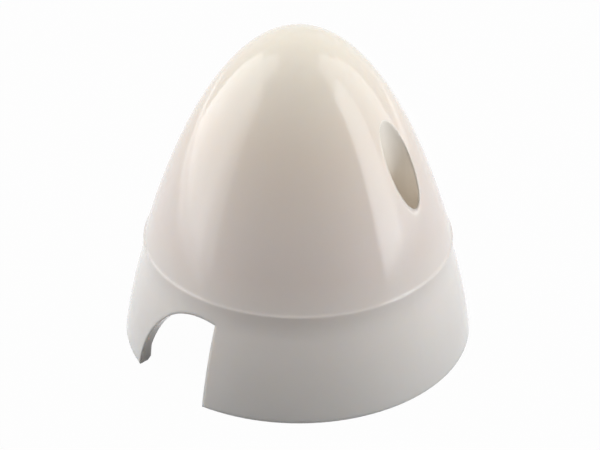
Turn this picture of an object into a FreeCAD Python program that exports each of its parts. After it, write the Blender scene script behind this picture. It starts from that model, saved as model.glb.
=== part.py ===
"""Propeller spinner for a model aircraft: one white injection-moulded shell.

The shell is a blunted ogive nose on a flared skirt, with a fine shoulder between them.
The skirt has two blade notches, half a turn apart, and the nose has two deep screw pockets,
each of them the inside of a hollow post that stands on the backplate.

Frame: millimetres, +Z along the spin axis towards the nose tip, origin at the centre of the
rim plane, blades along Y.  One notch faces -Y and the other +Y.
"""
import FreeCAD
import Part
import Sketcher
import math
import os

from FreeCAD import Vector

# ------------------------------------------------------------------ driving dimensions
SIZES = {
    # outer form
    "rim_radius": 28.5,          # outside radius at the rim
    "total_height": 53.5,        # rim plane to nose tip
    "nose_semi_axis": 150.0,     # half length of the ellipse that the nose is the end of
    "nose_base_radius": 24.88,   # nose's outside radius at the shoulder
    "shoulder_height": 17.6,     # rim plane to the shoulder between nose and skirt
    "shoulder_round": 0.2,       # quarter round that stands proud of the nose
    "waist_radius": 15.0,        # hollow curve under the shoulder
    "skirt_radius": 95.0,        # bulging curve from there to the rim
    "rim_round": 0.3,            # rounded lower edge of the rim
    # inner form
    "wall": 2.1,                 # nose wall
    "rim_wall": 2.3,             # rim's outside to the register that the backplate enters
    "seat_height": 3.2,          # rim plane to the posts' feet, where the backplate stops
    "lead_in": 0.6,              # chamfer at the register's mouth
    # blade notches
    "notch_lead": 6.3,           # blade line to the straight leading wall
    "notch_crown": 3.7,          # blade line to the highest point
    "notch_height": 14.3,        # rim plane to the highest point
    "notch_crown_radius": 10.3,  # curve over the crown
    "notch_side_radius": 17.7,   # trailing curve
    "notch_rear": 9.3,           # blade line to where that curve meets the rim plane
    # screw pockets and posts
    "screw_circle_radius": 18.0,
    "screw_angle": 13.9,         # from +X
    "pocket_radius": 3.2,
    "pocket_floor": 3.0,         # thickness under the screw head
    "post_wall": 1.5,
    "screw_hole_radius": 1.6,
    "web_width": 1.4,            # web that ties each post to the skirt
    "web_rise": 1.5,             # posts' feet to the web's lower edge
}
TURNS = 2                        # notches, and pockets, half a turn apart


def cell(name):
    """The spreadsheet's own name for a size, as expressions use it."""
    return f"Sizes.{name}"


def make_sheet(doc):
    """Spreadsheet that holds every driving dimension under its alias."""
    sheet = doc.addObject("Spreadsheet::Sheet", "Sizes")
    for row, (name, value) in enumerate(SIZES.items(), start=1):
        sheet.set(f"A{row}", name)
        sheet.set(f"B{row}", str(value))
        sheet.setAlias(f"B{row}", name)
    doc.recompute()
    return sheet


# ------------------------------------------------------------------ sketch helpers
def origin_feature(body, role):
    """A body's own plane or axis, such as XY_Plane or Z_Axis."""
    return next(f for f in body.Origin.OriginFeatures if f.Role == role)


def new_sketch(body, name, plane, rise=None):
    """Sketch on one of the body's origin planes, lifted by an expression if one is given."""
    sketch = body.newObject("Sketcher::SketchObject", name)
    sketch.AttachmentSupport = [(origin_feature(body, plane), "")]
    sketch.MapMode = "FlatFace"
    if rise:
        sketch.setExpression("AttachmentOffset.Base.z", rise)
    return sketch


def bind(sketch, name, constraint, expression):
    """Adds a named dimension and ties it to the spreadsheet."""
    index = sketch.addConstraint(constraint)
    sketch.renameConstraint(index, name)
    sketch.setExpression(f"Constraints.{name}", expression)
    return index


def arc(centre, radius, start, end):
    """Arc in the sketch plane, counterclockwise from start to end, in radians."""
    circle = Part.Circle(Vector(*centre, 0), Vector(0, 0, 1), radius)
    return Part.ArcOfCircle(circle, start, end)


def line(start, end):
    return Part.LineSegment(Vector(*start, 0), Vector(*end, 0))


def join(sketch, *ends):
    """Makes each pair of (curve, end) points coincide."""
    for (first, first_end), (second, second_end) in ends:
        sketch.addConstraint(Sketcher.Constraint("Coincident", first, first_end, second, second_end))


# ------------------------------------------------------------------ nose and skirt curves
def nose_arc(inset):
    """Nose as the end of a long upright ellipse, from the shoulder to the tip, both moved inwards."""
    top, base = SIZES["total_height"] - inset, SIZES["nose_base_radius"] - inset
    half = SIZES["nose_semi_axis"]
    rise = half - top + SIZES["shoulder_height"]
    width = base / math.sqrt(1 - (rise / half) ** 2)
    centre = Vector(0, top - half, 0)
    ellipse = Part.Ellipse(centre + Vector(0, half, 0), centre - Vector(width, 0, 0), centre)
    return Part.ArcOfEllipse(ellipse, -math.acos(rise / half), 0)


def constrain_nose(sketch, nose, inset=""):
    """Ties the ellipse down by its centre, its half length and the point where it meets the shoulder."""
    start = sketch.Geometry[nose].StartPoint
    below = -sketch.Geometry[nose].Center.y
    length_line = sketch.GeometryCount
    sketch.exposeInternalGeometry(nose)
    sketch.addConstraint([
        Sketcher.Constraint("PointOnObject", nose, 3, -2),
        Sketcher.Constraint("PointOnObject", nose, 2, -2),
        Sketcher.Constraint("Vertical", length_line),
    ])
    bind(sketch, "nose_length", Sketcher.Constraint("Distance", length_line, 2 * SIZES["nose_semi_axis"]),
         f"2 * {cell('nose_semi_axis')}")
    bind(sketch, "nose_centre", Sketcher.Constraint("DistanceY", nose, 3, -1, 1, below),
         f"{cell('nose_semi_axis')} - ({cell('total_height')}{inset})")
    bind(sketch, "nose_base_radius", Sketcher.Constraint("DistanceX", -1, 1, nose, 1, start.x),
         cell("nose_base_radius") + inset)
    bind(sketch, "shoulder_height", Sketcher.Constraint("DistanceY", -1, 1, nose, 1, start.y),
         cell("shoulder_height"))


def skirt_start(top, foot):
    """First guess for the two skirt curves: waist centre, skirt centre and the angle where they meet."""
    waist_centre = (top[0] + SIZES["waist_radius"], top[1])
    span = math.dist(waist_centre, foot)
    far = SIZES["waist_radius"] + SIZES["skirt_radius"]
    near = SIZES["skirt_radius"]
    opening = math.acos((far ** 2 + span ** 2 - near ** 2) / (2 * far * span))
    to_foot = math.atan2(foot[1] - waist_centre[1], foot[0] - waist_centre[0]) % math.tau
    angle = to_foot - opening
    centre = (waist_centre[0] + far * math.cos(angle), waist_centre[1] + far * math.sin(angle))
    return waist_centre, centre, angle


def outer_profile(body):
    """Half section of the solid form: nose, shoulder, waist, skirt, rounded rim and axis."""
    sketch = new_sketch(body, "outer_profile", "XZ_Plane")
    base, shoulder, proud = SIZES["nose_base_radius"], SIZES["shoulder_height"], SIZES["shoulder_round"]
    small = SIZES["rim_round"]
    foot = (SIZES["rim_radius"], small)
    waist_centre, skirt_centre, leave = skirt_start((base + proud, shoulder - proud), foot)
    skirt_low = math.atan2(foot[1] - skirt_centre[1], foot[0] - skirt_centre[0])
    round_centre = (foot[0] - small, small)
    sketch.addGeometry([
        nose_arc(0),
        arc((base, shoulder - proud), proud, 0, math.pi / 2),
        arc(waist_centre, SIZES["waist_radius"], math.pi, leave),
        arc(skirt_centre, SIZES["skirt_radius"], skirt_low, leave - math.pi),
        arc(round_centre, small, 1.5 * math.pi, math.tau + skirt_low),
        line((round_centre[0], 0), (0, 0)),
        line((0, 0), (0, SIZES["total_height"])),
    ], False)
    nose, shoulder_arc, waist_arc, skirt_arc, rim_arc, rim_line, axis_line = range(7)
    join(sketch,
         ((nose, 1), (shoulder_arc, 2)),
         ((rim_line, 2), (axis_line, 1)),
         ((axis_line, 2), (nose, 2)))
    sketch.addConstraint([
        Sketcher.Constraint("Vertical", shoulder_arc, 3, shoulder_arc, 2),
        Sketcher.Constraint("Horizontal", shoulder_arc, 3, shoulder_arc, 1),
        Sketcher.Constraint("Tangent", shoulder_arc, 1, waist_arc, 1),
        Sketcher.Constraint("Tangent", waist_arc, 2, skirt_arc, 2),
        Sketcher.Constraint("Tangent", skirt_arc, 1, rim_arc, 2),
        Sketcher.Constraint("Tangent", rim_arc, 1, rim_line, 1),
        Sketcher.Constraint("Coincident", rim_line, 2, -1, 1),
        Sketcher.Constraint("PointOnObject", rim_line, 1, -1),
    ])
    constrain_nose(sketch, nose)
    for index, name in ((shoulder_arc, "shoulder_round"), (waist_arc, "waist_radius"),
                        (skirt_arc, "skirt_radius"), (rim_arc, "rim_round")):
        bind(sketch, name, Sketcher.Constraint("Radius", index, SIZES[name]), cell(name))
    bind(sketch, "rim_radius", Sketcher.Constraint("DistanceX", -1, 1, skirt_arc, 1, foot[0]),
         cell("rim_radius"))
    return sketch


def cavity_profile(body):
    """Half section of the hollow: nose wall inside, sloping skirt wall, register and lead-in."""
    sketch = new_sketch(body, "cavity_profile", "XZ_Plane")
    seat, lead = SIZES["seat_height"], SIZES["lead_in"]
    inside = nose_arc(SIZES["wall"])
    register = SIZES["rim_radius"] - SIZES["rim_wall"]
    corners = [
        (inside.StartPoint.x, inside.StartPoint.y),
        (register, seat),
        (register, lead),
        (register + lead, 0),
        (0, 0),
        (0, inside.EndPoint.y),
    ]
    sketch.addGeometry([inside] + [line(a, b) for a, b in zip(corners, corners[1:])], False)
    nose, skirt_line, register_line, lead_line, mouth, axis_line = range(6)
    join(sketch,
         ((nose, 1), (skirt_line, 1)),
         ((skirt_line, 2), (register_line, 1)),
         ((register_line, 2), (lead_line, 1)),
         ((lead_line, 2), (mouth, 1)),
         ((mouth, 2), (axis_line, 1)),
         ((axis_line, 2), (nose, 2)))
    sketch.addConstraint([
        Sketcher.Constraint("Vertical", register_line),
        Sketcher.Constraint("PointOnObject", mouth, 1, -1),
        Sketcher.Constraint("Coincident", mouth, 2, -1, 1),
    ])
    constrain_nose(sketch, nose, f" - {cell('wall')}")
    radius = f"{cell('rim_radius')} - {cell('rim_wall')}"
    bind(sketch, "register_radius",
         Sketcher.Constraint("DistanceX", -1, 1, register_line, 1, register), radius)
    bind(sketch, "seat_height",
         Sketcher.Constraint("DistanceY", -1, 1, register_line, 1, seat), cell("seat_height"))
    bind(sketch, "lead_height",
         Sketcher.Constraint("DistanceY", -1, 1, lead_line, 1, lead), cell("lead_in"))
    bind(sketch, "lead_radius",
         Sketcher.Constraint("DistanceX", -1, 1, mouth, 1, register + lead),
         f"{radius} + {cell('lead_in')}")
    return sketch


# ------------------------------------------------------------------ features
def revolve(body, sketch, name):
    feature = body.newObject("PartDesign::Revolution", name)
    feature.Profile = sketch
    feature.ReferenceAxis = (sketch, ["V_Axis"])
    feature.Angle = 360
    return feature


def cut_through(body, sketch, name, upward):
    """Pocket through everything on one side of its sketch."""
    feature = body.newObject("PartDesign::Pocket", name)
    feature.Profile = sketch
    feature.Type = "ThroughAll"
    feature.Reversed = upward
    return feature


def repeat(body, features, name):
    """Copies features round the spin axis, and makes the pattern the body's tip."""
    pattern = body.newObject("PartDesign::PolarPattern", name)
    pattern.Originals = features
    pattern.Axis = (origin_feature(body, "Z_Axis"), [""])
    pattern.Angle = 360
    pattern.Occurrences = TURNS
    body.Tip = pattern
    return pattern


def screw_place():
    """First screw's place in plan, as a pair of expressions and the same pair as numbers."""
    angle = math.radians(SIZES["screw_angle"])
    radius = SIZES["screw_circle_radius"]
    return (
        (f"{cell('screw_circle_radius')} * cos({cell('screw_angle')} * 1 deg)",
         f"{cell('screw_circle_radius')} * sin({cell('screw_angle')} * 1 deg)"),
        (radius * math.cos(angle), radius * math.sin(angle)),
    )


def screw_circle(body, name, rise, radius, radius_expression):
    """Sketch of one circle on the first screw's axis, at the height that rise gives."""
    sketch = new_sketch(body, name, "XY_Plane", rise)
    expressions, (x, y) = screw_place()
    sketch.addGeometry(Part.Circle(Vector(x, y, 0), Vector(0, 0, 1), radius), False)
    bind(sketch, "radius", Sketcher.Constraint("Radius", 0, radius), radius_expression)
    bind(sketch, "place_x", Sketcher.Constraint("DistanceX", -1, 1, 0, 3, x), expressions[0])
    bind(sketch, "place_y", Sketcher.Constraint("DistanceY", -1, 1, 0, 3, y), expressions[1])
    return sketch


def web_outline(body):
    """Sketch of the web: a slot from the post's axis straight out past the skirt's inside."""
    rise = f"{cell('seat_height')} + {cell('web_rise')}"
    sketch = new_sketch(body, "web_outline", "XY_Plane", rise)
    sketch.setExpression("AttachmentOffset.Rotation.Angle", f"{cell('screw_angle')} * 1 deg")
    near, far, half = SIZES["screw_circle_radius"], SIZES["rim_radius"], SIZES["web_width"] / 2
    corners = [(near, -half), (far, -half), (far, half), (near, half)]
    sketch.addGeometry([line(a, b) for a, b in zip(corners, corners[1:] + corners[:1])], False)
    join(sketch, *[((side, 2), ((side + 1) % 4, 1)) for side in range(4)])
    sketch.addConstraint([
        Sketcher.Constraint("Horizontal", 0),
        Sketcher.Constraint("Vertical", 1),
        Sketcher.Constraint("Horizontal", 2),
        Sketcher.Constraint("Symmetric", 0, 1, 3, 1, -1),
    ])
    bind(sketch, "near", Sketcher.Constraint("DistanceX", -1, 1, 0, 1, near), cell("screw_circle_radius"))
    bind(sketch, "far", Sketcher.Constraint("DistanceX", -1, 1, 0, 2, far), cell("rim_radius"))
    bind(sketch, "width", Sketcher.Constraint("DistanceY", 0, 1, 3, 1, 2 * half), cell("web_width"))
    return sketch


def make_core(doc):
    """The hollow inside the shell: the revolved cavity, less the posts and webs that stand in it."""
    body = doc.addObject("PartDesign::Body", "core")
    revolve(body, cavity_profile(body), "cavity")
    post_radius = f"{cell('pocket_radius')} + {cell('post_wall')}"
    post = screw_circle(body, "post_outline", cell("seat_height"),
                        SIZES["pocket_radius"] + SIZES["post_wall"], post_radius)
    post_cut = cut_through(body, post, "post_space", True)
    web_cut = cut_through(body, web_outline(body), "web_space", True)
    repeat(body, [post_cut, web_cut], "posts_and_webs")
    return body


def notch_outline(body):
    """Blade notch seen along the blade: straight leading wall, crown, and one curve down behind it."""
    sketch = new_sketch(body, "notch_outline", "XZ_Plane")
    lead, crown, rear = SIZES["notch_lead"], SIZES["notch_crown"], SIZES["notch_rear"]
    small, large = SIZES["notch_crown_radius"], SIZES["notch_side_radius"]
    crown_centre = (crown, SIZES["notch_height"] - small)
    corner = math.acos((lead - crown) / small)
    behind = (crown_centre[0] + rear, crown_centre[1])
    reach, spread = math.hypot(*behind), large - small
    bend = math.acos((large ** 2 + reach ** 2 - spread ** 2) / (2 * large * reach))
    aim = math.atan2(behind[1], behind[0]) - bend
    side_centre = (-rear + large * math.cos(aim), large * math.sin(aim))
    meet = math.atan2(crown_centre[1] - side_centre[1], crown_centre[0] - side_centre[0])
    low = math.atan2(-side_centre[1], -rear - side_centre[0]) % math.tau
    top = crown_centre[1] + small * math.sin(corner)
    sketch.addGeometry([
        line((lead, 0), (lead, top)),
        arc(crown_centre, small, corner, meet),
        arc(side_centre, large, meet, low),
        line((-rear, 0), (lead, 0)),
    ], False)
    lead_line, crown_arc, side_arc, mouth = range(4)
    join(sketch,
         ((lead_line, 2), (crown_arc, 1)),
         ((side_arc, 2), (mouth, 1)),
         ((mouth, 2), (lead_line, 1)))
    sketch.addConstraint([
        Sketcher.Constraint("Tangent", crown_arc, 2, side_arc, 1),
        Sketcher.Constraint("Vertical", lead_line),
        Sketcher.Constraint("PointOnObject", mouth, 1, -1),
        Sketcher.Constraint("PointOnObject", mouth, 2, -1),
    ])
    bind(sketch, "notch_lead", Sketcher.Constraint("DistanceX", -1, 1, lead_line, 1, lead),
         cell("notch_lead"))
    bind(sketch, "notch_rear", Sketcher.Constraint("DistanceX", mouth, 1, -1, 1, rear),
         cell("notch_rear"))
    bind(sketch, "notch_crown", Sketcher.Constraint("DistanceX", -1, 1, crown_arc, 3, crown),
         cell("notch_crown"))
    bind(sketch, "crown_centre", Sketcher.Constraint("DistanceY", -1, 1, crown_arc, 3, crown_centre[1]),
         f"{cell('notch_height')} - {cell('notch_crown_radius')}")
    bind(sketch, "notch_crown_radius", Sketcher.Constraint("Radius", crown_arc, small),
         cell("notch_crown_radius"))
    bind(sketch, "notch_side_radius", Sketcher.Constraint("Radius", side_arc, large),
         cell("notch_side_radius"))
    return sketch


def make_shell(doc, core):
    """The moulding itself: the solid form less the core, then pockets, screw holes and notches."""
    body = doc.addObject("PartDesign::Body", "spinner_cone")
    body.Label = "spinner_cone"
    revolve(body, outer_profile(body), "solid_form")
    doc.recompute()
    hollow = body.newObject("PartDesign::Boolean", "hollow")
    hollow.Type = "Cut"
    hollow.setObjects([core])
    doc.recompute()
    pocket = screw_circle(body, "pocket_outline", f"{cell('seat_height')} + {cell('pocket_floor')}",
                          SIZES["pocket_radius"], cell("pocket_radius"))
    pocket_cut = cut_through(body, pocket, "screw_pocket", True)
    hole = screw_circle(body, "screw_hole_outline", cell("seat_height"),
                        SIZES["screw_hole_radius"], cell("screw_hole_radius"))
    hole_cut = cut_through(body, hole, "screw_hole", True)
    repeat(body, [pocket_cut, hole_cut], "pockets_and_holes")
    doc.recompute()
    notch_cut = cut_through(body, notch_outline(body), "blade_notch", True)
    repeat(body, [notch_cut], "blade_notches")
    doc.recompute()
    return body


def main():
    doc = FreeCAD.newDocument("spinner")
    make_sheet(doc)
    core = make_core(doc)
    doc.recompute()
    body = make_shell(doc, core)
    check(doc, body)
    export(body)


def check(doc, body):
    """Stops on a failed object or a broken solid, which a recompute can leave without raising."""
    failed = [o.Name for o in doc.Objects if {"Invalid", "Error"} & set(o.State)]
    if failed:
        raise RuntimeError(f"failed objects: {failed}")
    shape = body.Shape
    if shape.isNull() or not shape.isValid() or len(shape.Solids) != 1:
        raise RuntimeError(f"{body.Label} is not one valid solid")


def export(body):
    os.makedirs("parts", exist_ok=True)
    body.Shape.exportStep(os.path.join("parts", f"{body.Label}.step"))
    box = body.Shape.optimalBoundingBox(False)
    print(f"{body.Label}: {box.XLength:.2f} x {box.YLength:.2f} x {box.ZLength:.2f} mm, "
          f"{body.Shape.Volume:.0f} mm3")


main()
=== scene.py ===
"""Looks of the propeller spinner: glossy off-white plastic in a white tent.

The tent is lit from both sides and overhead.

Metres, in the part's own frame: +Z along the spin axis to the nose tip, rim on the floor at z = 0.
"""
import math

import bpy
from mathutils import Matrix, Vector


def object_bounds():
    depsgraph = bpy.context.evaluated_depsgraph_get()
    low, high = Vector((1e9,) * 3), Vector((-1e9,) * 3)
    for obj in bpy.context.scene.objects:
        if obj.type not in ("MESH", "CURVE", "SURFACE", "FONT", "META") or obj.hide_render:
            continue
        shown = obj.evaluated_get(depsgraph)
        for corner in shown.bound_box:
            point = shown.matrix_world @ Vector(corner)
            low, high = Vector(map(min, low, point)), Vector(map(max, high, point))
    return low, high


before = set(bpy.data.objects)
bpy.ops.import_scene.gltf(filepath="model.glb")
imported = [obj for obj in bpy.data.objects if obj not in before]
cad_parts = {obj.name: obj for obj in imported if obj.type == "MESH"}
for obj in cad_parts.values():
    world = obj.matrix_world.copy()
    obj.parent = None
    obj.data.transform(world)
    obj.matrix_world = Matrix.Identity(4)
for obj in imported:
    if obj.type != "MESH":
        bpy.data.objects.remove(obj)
cad_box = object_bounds()

MM = 0.001
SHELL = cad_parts["spinner_cone"]

# ------------------------------------------------------------------ values
# camera: azimuth counterclockwise from the -Y notch, as seen from above
CAMERA_AZIMUTH = math.radians(44.3)
CAMERA_BACK = 271.2 * MM
CAMERA_ASIDE = 0.28 * MM
CAMERA_HEIGHT = 184.1 * MM
CAMERA_PITCH = math.radians(31.38)
CAMERA_ROLL = math.radians(0.3)
LENS_MM = 117.65
SENSOR_WIDTH_MM = 36.0
NEAR_CLIP = 10 * MM

# the part
TOTAL_HEIGHT = cad_box[1][2]
SCREW_ANGLE = math.radians(13.9)
SCREW_CIRCLE_RADIUS = 18.0 * MM
POCKET_RADIUS = 3.2 * MM
POCKET_MARGIN = 0.05 * MM        # how far outside that radius still counts as the pocket's wall

# its plastic
POCKET_PAINTED_LIGHT = (0.96, 0.89, 0.80)  # painted light: a paler colour on the screw pockets' walls, in place of light that soaks through round them
TRANSLUCENCY = 0.4
SOAK_DEPTH = 1.5 * MM
SOAK_BY_COLOUR = (1.0, 0.8, 0.6)  # share of that depth that red, green and blue reach
EDGE_RADIUS = 0.7 * MM
EDGE_SAMPLES = 6
NOISE_MIDDLE = (0.3, 0.7)        # range that holds most of a noise's values
CLOUD_SIZE = 14 * MM
CLOUD_SHADES = (0.975, 1.0)      # the colour, with its painted light and shade, is multiplied by these
HAZE_SIZE = 9 * MM
HAZE_ROUGHNESS = (0.08, 0.13)
RIPPLE_SIZE = 5 * MM
RIPPLE_DEPTH = 0.02 * MM
GRAIN_SIZE = 0.35 * MM
GRAIN_DEPTH = 0.002 * MM
# painted shade and light up the spin axis: the plastic is darker towards the rim, lighter just below the
# ring ledge and warmer on the nose, for how the light falls
SHELL_COLOUR_AND_PAINTED_LIGHT = {
    # share of the height: colour, with painted shade and painted light
    0.00: (0.74, 0.71, 0.685),
    0.28: (0.83, 0.775, 0.735),
    0.42: (0.80, 0.71, 0.66),
    0.50: (0.80, 0.71, 0.66),
    0.75: (0.80, 0.70, 0.61),
    1.00: (0.80, 0.745, 0.65),
}

# lights in the camera's own plan: x to its right, y away from it, z up, in metres
WALL_OFF = 0.45                  # lit side walls of the tent, each side of the spin axis
WALL_COLOUR = (0.95, 0.98, 1.0)
WALLS = {
    # name: (side, near end, far end, bottom, top, watts)
    "right_near": (1, -0.22, -0.02, 0.0, 0.5, 1.2),
    "right_far": (1, -0.02, 0.30, 0.0, 0.5, 0.85),
    "right_top": (1, -0.15, 0.25, 0.5, 1.0, 1.1),
    "left_dim": (-1, -0.22, -0.12, 0.0, 0.5, 0.24),
    "left_near": (-1, -0.12, -0.02, 0.0, 0.5, 0.42),
    "left_far": (-1, -0.02, 0.40, 0.0, 0.5, 1.5),
    "left_top": (-1, -0.10, 0.25, 0.5, 1.0, 1.0),
}
CARDS = {
    # lit, on the floor by the walls; name: (centre, size, watts)
    "right_card": ((0.32, 0.15, 0.002), (0.26, 0.50), 0.33),
    "left_card": ((-0.32, 0.15, 0.002), (0.26, 0.50), 0.45),
}
SOFTBOX_COLOUR = (1.0, 0.97, 0.93)
SOFTBOXES = {
    # name: (centre, size, facing, watts)
    "roof": ((0.0, 0.10, 0.60), (0.60, 0.60), (0.0, 0.0, -1.0), 2.05),
    "front_high": ((0.0, -0.45, 0.60), (0.60, 0.50), (0.0, 0.6, -0.8), 0.75),
}
UP = (0.0, 0.0, 1.0)

# floor and backdrop
WHITE = (1, 1, 1, 1)
FLOOR_SIZE = 4.0
FLOOR_GREY = (0.25, 0.25, 0.25, 1)
FLOOR_ROUGHNESS = 0.9
FLOOR_WHITE = 0.98               # share of the floor's look that no shadow reaches


# ------------------------------------------------------------------ node helpers
def new_material(name):
    """Material with a Principled shader, and its node tree, shader and output."""
    material = bpy.data.materials.new(name)
    material.use_nodes = True
    tree = material.node_tree
    tree.nodes.clear()
    output = tree.nodes.new("ShaderNodeOutputMaterial")
    shader = tree.nodes.new("ShaderNodeBsdfPrincipled")
    tree.links.new(shader.outputs["BSDF"], output.inputs["Surface"])
    return material, tree, shader, output


def node(tree, kind, inputs=None, **settings):
    """Adds a node, sets its properties, and fills or links its inputs."""
    made = tree.nodes.new(kind)
    for key, value in settings.items():
        setattr(made, key, value)
    for key, value in (inputs or {}).items():
        if isinstance(value, bpy.types.NodeSocket):
            tree.links.new(value, made.inputs[key])
        else:
            made.inputs[key].default_value = value
    return made


def mix(tree, share, first, second, blend="MIX"):
    """Blends two colours; a Mix node keeps its colour inputs at 6 and 7 and its colour output at 2."""
    made = node(tree, "ShaderNodeMix", data_type="RGBA", blend_type=blend)
    for socket, value in zip((made.inputs[0], made.inputs[6], made.inputs[7]), (share, first, second)):
        if isinstance(value, bpy.types.NodeSocket):
            tree.links.new(value, socket)
        else:
            socket.default_value = value
    return made.outputs[2]


def maths(tree, operation, first, second):
    made = node(tree, "ShaderNodeMath", {0: first, 1: second}, operation=operation)
    return made.outputs["Value"]


# ------------------------------------------------------------------ material
def noise(tree, place, size, detail=2.0):
    """Noise whose blotches are about size across, as a number round 0.5."""
    made = node(tree, "ShaderNodeTexNoise", {"Vector": place, "Scale": 1 / size, "Detail": detail})
    return made.outputs["Fac"]


def spread(tree, value, low, high):
    """Stretches the middle of a noise to a range of values."""
    least, most = NOISE_MIDDLE
    made = node(tree, "ShaderNodeMapRange", {"Value": value, "From Min": least, "From Max": most,
                                             "To Min": low, "To Max": high})
    return made.outputs["Result"]


def shell_colour_and_painted_light(tree, height):
    """Plastic's colour up the spin axis, with painted light and shade: darker towards the rim on the
    floor, lighter just below the ring ledge to cancel its shade, neutral on the skirt, warmer on the nose.
    """
    reach = node(tree, "ShaderNodeMapRange", {"Value": height, "From Max": TOTAL_HEIGHT})
    ramp = node(tree, "ShaderNodeValToRGB", {"Fac": reach.outputs["Result"]})
    steps = ramp.color_ramp.elements
    while len(steps) < len(SHELL_COLOUR_AND_PAINTED_LIGHT):
        steps.new(0.5)
    for step, (place, colour_and_painted_light) in zip(steps, SHELL_COLOUR_AND_PAINTED_LIGHT.items()):
        step.position = place
        step.color = (*colour_and_painted_light, 1)
    return ramp.outputs["Color"]


def in_pockets(tree, place):
    """1 on the walls of the two screw pockets, which lie half a turn apart, and 0 elsewhere."""
    turned = node(tree, "ShaderNodeVectorRotate", {"Vector": place, "Angle": -SCREW_ANGLE},
                  rotation_type="Z_AXIS")
    axes = node(tree, "ShaderNodeSeparateXYZ", {"Vector": turned.outputs["Vector"]}).outputs
    folded = maths(tree, "MAXIMUM", axes["X"], maths(tree, "MULTIPLY", axes["X"], -1.0))
    along = maths(tree, "SUBTRACT", folded, SCREW_CIRCLE_RADIUS)
    reach = node(tree, "ShaderNodeCombineXYZ", {"X": along, "Y": axes["Y"]})
    distance = node(tree, "ShaderNodeVectorMath", {0: reach.outputs["Vector"]}, operation="LENGTH")
    return maths(tree, "LESS_THAN", distance.outputs["Value"], POCKET_RADIUS + POCKET_MARGIN)


def finish_shell():
    """Moulded off-white plastic: colour cloud, uneven gloss, soft edges, a faint ripple and fine grain,
    with painted light and shade in its colour up the height and painted light on the screw pockets' walls.
    """
    material, tree, shader, _ = new_material("shell_plastic")
    place = node(tree, "ShaderNodeTexCoord").outputs["Object"]
    height = node(tree, "ShaderNodeSeparateXYZ", {"Vector": place}).outputs["Z"]
    cloud = spread(tree, noise(tree, place, CLOUD_SIZE), *CLOUD_SHADES)
    pocket = in_pockets(tree, place)
    # colour up the height with painted shade and light, and painted light (a paler colour) on the pocket
    # walls
    colour_and_painted_light = mix(tree, pocket, shell_colour_and_painted_light(tree, height), (*POCKET_PAINTED_LIGHT, 1))
    tree.links.new(mix(tree, 1.0, colour_and_painted_light, cloud, "MULTIPLY"), shader.inputs["Base Color"])
    haze = spread(tree, noise(tree, place, HAZE_SIZE, detail=4.0), *HAZE_ROUGHNESS)
    tree.links.new(haze, shader.inputs["Roughness"])
    # the pocket walls get no translucency; their painted light stands in for it
    soak = maths(tree, "MULTIPLY", maths(tree, "SUBTRACT", 1.0, pocket), TRANSLUCENCY)
    tree.links.new(soak, shader.inputs["Subsurface Weight"])
    shader.inputs["Subsurface Radius"].default_value = SOAK_BY_COLOUR
    shader.inputs["Subsurface Scale"].default_value = SOAK_DEPTH
    soft = node(tree, "ShaderNodeBevel", {"Radius": EDGE_RADIUS}, samples=EDGE_SAMPLES)
    ripple = node(tree, "ShaderNodeBump", {"Strength": 1.0, "Distance": RIPPLE_DEPTH,
                                           "Height": noise(tree, place, RIPPLE_SIZE, detail=1.0),
                                           "Normal": soft.outputs["Normal"]})
    grain = node(tree, "ShaderNodeBump", {"Strength": 1.0, "Distance": GRAIN_DEPTH,
                                          "Height": noise(tree, place, GRAIN_SIZE),
                                          "Normal": ripple.outputs["Normal"]})
    tree.links.new(grain.outputs["Normal"], shader.inputs["Normal"])
    SHELL.data.materials.clear()
    SHELL.data.materials.append(material)


# ------------------------------------------------------------------ stage
def seen_rays(tree):
    """1 for the rays that show the backdrop: the camera's own, mirrored and refracted ones."""
    path = node(tree, "ShaderNodeLightPath").outputs
    mirrored = maths(tree, "MAXIMUM", path["Is Camera Ray"], path["Is Glossy Ray"])
    return maths(tree, "MAXIMUM", mirrored, path["Is Transmission Ray"])


def white_floor():
    """Floor of paper that looks as white as the backdrop and keeps a faint shadow."""
    bpy.ops.mesh.primitive_plane_add(size=FLOOR_SIZE, location=(0, 0, 0))
    floor = bpy.context.object
    floor.name = "floor"
    material, tree, shader, output = new_material("paper")
    shader.inputs["Base Color"].default_value = FLOOR_GREY
    shader.inputs["Roughness"].default_value = FLOOR_ROUGHNESS
    white = node(tree, "ShaderNodeEmission", {"Color": WHITE, "Strength": 1.0})
    share = maths(tree, "MULTIPLY", seen_rays(tree), FLOOR_WHITE)
    mixed = node(tree, "ShaderNodeMixShader", {0: share, 1: shader.outputs["BSDF"],
                                               2: white.outputs["Emission"]})
    tree.links.new(mixed.outputs["Shader"], output.inputs["Surface"])
    floor.data.materials.append(material)


def backdrop():
    """World that looks white and leaves the lighting to the lamps."""
    world = bpy.data.worlds.new("backdrop")
    bpy.context.scene.world = world
    world.use_nodes = True
    tree = world.node_tree
    tree.nodes.clear()
    white = node(tree, "ShaderNodeBackground", {"Color": WHITE, "Strength": seen_rays(tree)})
    output = tree.nodes.new("ShaderNodeOutputWorld")
    tree.links.new(white.outputs["Background"], output.inputs["Surface"])


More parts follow.
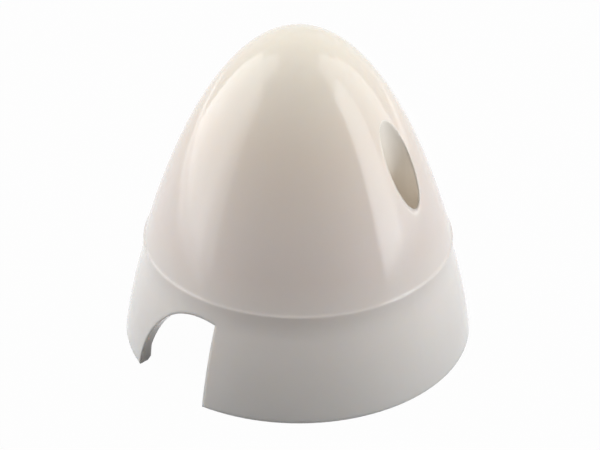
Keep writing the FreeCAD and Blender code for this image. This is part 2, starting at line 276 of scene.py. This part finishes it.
def tent_wall(name, side, near, far, bottom, top, watts):
    """Lit stretch of a side wall, which the gloss mirrors."""
    centre = (side * WALL_OFF, (near + far) / 2, (bottom + top) / 2)
    area_light(name, centre, (far - near, top - bottom), (-side, 0, 0), watts, WALL_COLOUR)


def softbox(name, centre, size, facing, watts):
    """Soft overhead light that the gloss doesn't mirror."""
    lamp = area_light(name, centre, size, facing, watts, SOFTBOX_COLOUR)
    lamp.visible_glossy = False


def area_light(name, centre, size, facing, watts, colour):
    """Rectangular area light, placed in the camera's own plan."""
    light = bpy.data.lights.new(name, "AREA")
    light.shape = "RECTANGLE"
    light.size, light.size_y = size
    light.energy = watts
    light.color = colour
    lamp = bpy.data.objects.new(name, light)
    bpy.context.scene.collection.objects.link(lamp)
    turn = Matrix.Rotation(CAMERA_AZIMUTH, 4, "Z")
    aim = Vector(facing).to_track_quat("-Z", "Y").to_matrix().to_4x4()
    lamp.matrix_world = turn @ Matrix.Translation(centre) @ aim
    lamp.visible_camera = False
    return lamp


def camera():
    """Camera that stands off the notch side and looks down on the nose."""
    lens = bpy.data.cameras.new("camera")
    lens.lens = LENS_MM
    lens.sensor_width = SENSOR_WIDTH_MM
    lens.clip_start = NEAR_CLIP
    eye = bpy.data.objects.new("camera", lens)
    bpy.context.scene.collection.objects.link(eye)
    turn = Matrix.Rotation(CAMERA_AZIMUTH, 4, "Z")
    stand = Matrix.Translation((CAMERA_ASIDE, -CAMERA_BACK, CAMERA_HEIGHT))
    tilt = Matrix.Rotation(math.radians(90) - CAMERA_PITCH, 4, "X")
    roll = Matrix.Rotation(CAMERA_ROLL, 4, "Z")
    eye.matrix_world = turn @ stand @ tilt @ roll
    bpy.context.scene.camera = eye


finish_shell()
white_floor()
backdrop()
for name, stretch in WALLS.items():
    tent_wall(name, *stretch)
for name, (centre, size, watts) in CARDS.items():
    area_light(name, centre, size, UP, watts, WALL_COLOUR)
for name, placing in SOFTBOXES.items():
    softbox(name, *placing)
camera()
bpy.context.scene.view_settings.view_transform = "Standard"
